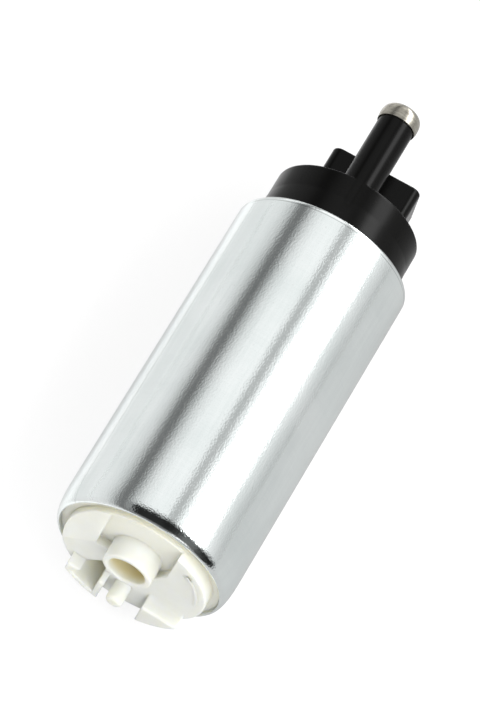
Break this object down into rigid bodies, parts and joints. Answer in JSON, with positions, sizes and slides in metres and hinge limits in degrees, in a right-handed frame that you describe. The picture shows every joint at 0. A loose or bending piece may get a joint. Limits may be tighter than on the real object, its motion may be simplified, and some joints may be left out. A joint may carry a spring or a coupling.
{
  "type": "in-tank fuel pump",
  "caption": "Electric in-tank fuel pump: plated steel can, white inlet end with nipple and locating peg, black outlet cap with outlet tube and connector shroud.",
  "frame": {"origin": "on the pump's axis, halfway along the can", "axes": "+X along the pump's axis from the inlet end to the outlet end; +Z square to it, up, towards the outlet tube; the pump lies on its side"},
  "size_m": [0.1186, 0.039, 0.039],
  "materials": {
    "zinc_plated_steel": "bright plated, faintly brushed round",
    "white_acetal": "milky, satin",
    "black_moulding": "satin to gloss",
    "nickel": "warm, satin",
    "seal_rubber": "matt",
    "ground_steel": "ground",
    "plate_metal": "machined",
    "sintered_metal": "sintered",
    "bronze": "sintered",
    "washer_plastic": "matt",
    "electrical_steel": "stacked sheets",
    "green_insulation": "fibre",
    "copper": "enamelled wire",
    "commutator_moulding": "moulded resin",
    "carbon": "dull",
    "flux_steel": "rolled",
    "magnet_ferrite": "ground",
    "spring_steel": "drawn wire",
    "tinned_brass": "tinned"
  },
  "bodies": {
    "housing": {"can": "zinc_plated_steel", "inlet_body": "white_acetal", "outlet_cap": "black_moulding", "outlet_ferrule": "nickel", "inlet_seal": "seal_rubber", "outlet_seal": "seal_rubber", "inlet_plate": "plate_metal", "pump_ring": "plate_metal", "port_plate": "plate_metal", "pump_screws": "ground_steel", "dowel_pins": "ground_steel", "lower_bush": "bronze", "upper_bush": "bronze", "flux_sleeve": "flux_steel", "magnet_left": "magnet_ferrite", "magnet_right": "magnet_ferrite", "magnet_clip_top": "spring_steel", "magnet_clip_bottom": "spring_steel", "check_seat": "bronze", "check_spring": "spring_steel", "relief_retainer": "ground_steel", "relief_spring": "spring_steel", "choke_core_left": "magnet_ferrite", "choke_core_right": "magnet_ferrite", "choke_coil_left": "copper", "choke_coil_right": "copper", "terminal_left": "tinned_brass", "terminal_right": "tinned_brass", "brush_spring_left": "spring_steel", "brush_spring_right": "spring_steel", "brush_lead_left": "copper", "brush_lead_right": "copper"},
    "armature": {"shaft": "ground_steel", "inner_rotor": "sintered_metal", "lower_washer": "washer_plastic", "lower_spacer": "washer_plastic", "lamination_stack": "electrical_steel", "end_insulators": "green_insulation", "windings": "copper", "commutator_base": "commutator_moulding", "commutator_segments": "carbon", "commutator_hooks": "copper", "upper_spacer": "washer_plastic", "upper_washer": "washer_plastic"},
    "outer_rotor_body": {"outer_rotor": "sintered_metal"},
    "check_poppet_body": {"check_poppet": "washer_plastic"},
    "relief_ball_body": {"relief_ball": "ground_steel"},
    "brush_left_body": {"brush_left": "carbon"},
    "brush_right_body": {"brush_right": "carbon"}
  },
  "joints": [
    {"name": "armature_spin", "type": "hinge", "parent": "housing", "child": "armature", "pos_m": [0, 0, 0], "axis": [1, 0, 0], "continuous": true},
    {"name": "outer_rotor_spin", "type": "hinge", "parent": "housing", "child": "outer_rotor_body", "pos_m": [-0.0281, 0, 0.001], "axis": [1, 0, 0], "continuous": true},
    {"name": "check_valve", "type": "slide", "parent": "housing", "child": "check_poppet_body", "axis": [1, 0, 0], "range_m": [0, 0.002], "stiffness_N_per_m": 150, "springref_m": -0.004, "deforming": ["check_spring"]},
    {"name": "relief_valve", "type": "slide", "parent": "housing", "child": "relief_ball_body", "axis": [1, 0, 0], "range_m": [0, 0.0012], "stiffness_N_per_m": 2000, "springref_m": -0.0018, "deforming": ["relief_spring"]},
    {"name": "brush_slide_left", "type": "slide", "parent": "housing", "child": "brush_left_body", "axis": [1, 0, 0], "range_m": [0, 0.003], "stiffness_N_per_m": 80, "springref_m": -0.012, "deforming": ["brush_spring_left", "brush_lead_left"]},
    {"name": "brush_slide_right", "type": "slide", "parent": "housing", "child": "brush_right_body", "axis": [1, 0, 0], "range_m": [0, 0.003], "stiffness_N_per_m": 80, "springref_m": -0.012, "deforming": ["brush_spring_right", "brush_lead_right"]}
  ],
  "couplings": [
    {"joint": "outer_rotor_spin", "follows": "armature_spin", "ratio": 0.85714}
  ]
}
